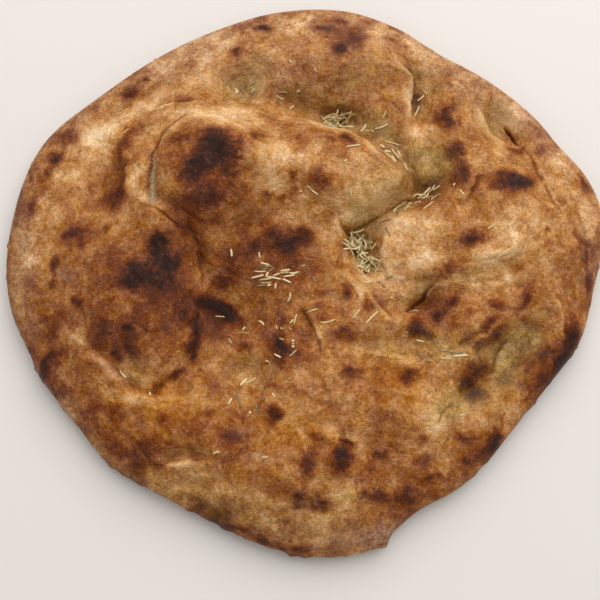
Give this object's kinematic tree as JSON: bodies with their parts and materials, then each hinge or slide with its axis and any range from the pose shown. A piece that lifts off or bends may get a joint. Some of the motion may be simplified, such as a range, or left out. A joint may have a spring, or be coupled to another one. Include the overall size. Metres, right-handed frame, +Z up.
{
  "type": "focaccia",
  "caption": "Large round flat loaf with an uneven, dimpled and blistered top, a rounded rim, a flat underside and dried rosemary needles baked on.",
  "frame": {"origin": "centre of the loaf's outline seen from above, on the flat underside it rests on", "axes": "+Z up out of the top crust, +X along the loaf's longest width, +Y towards the side with the thumb dimples"},
  "size_m": [0.3422, 0.3182, 0.0497],
  "materials": {
    "crust": "matte baked crust, mottled golden to dark brown, with pale hollows and scorched blisters"
  },
  "bodies": {
    "root": {"focaccia": "crust"}
  },
  "joints": []
}
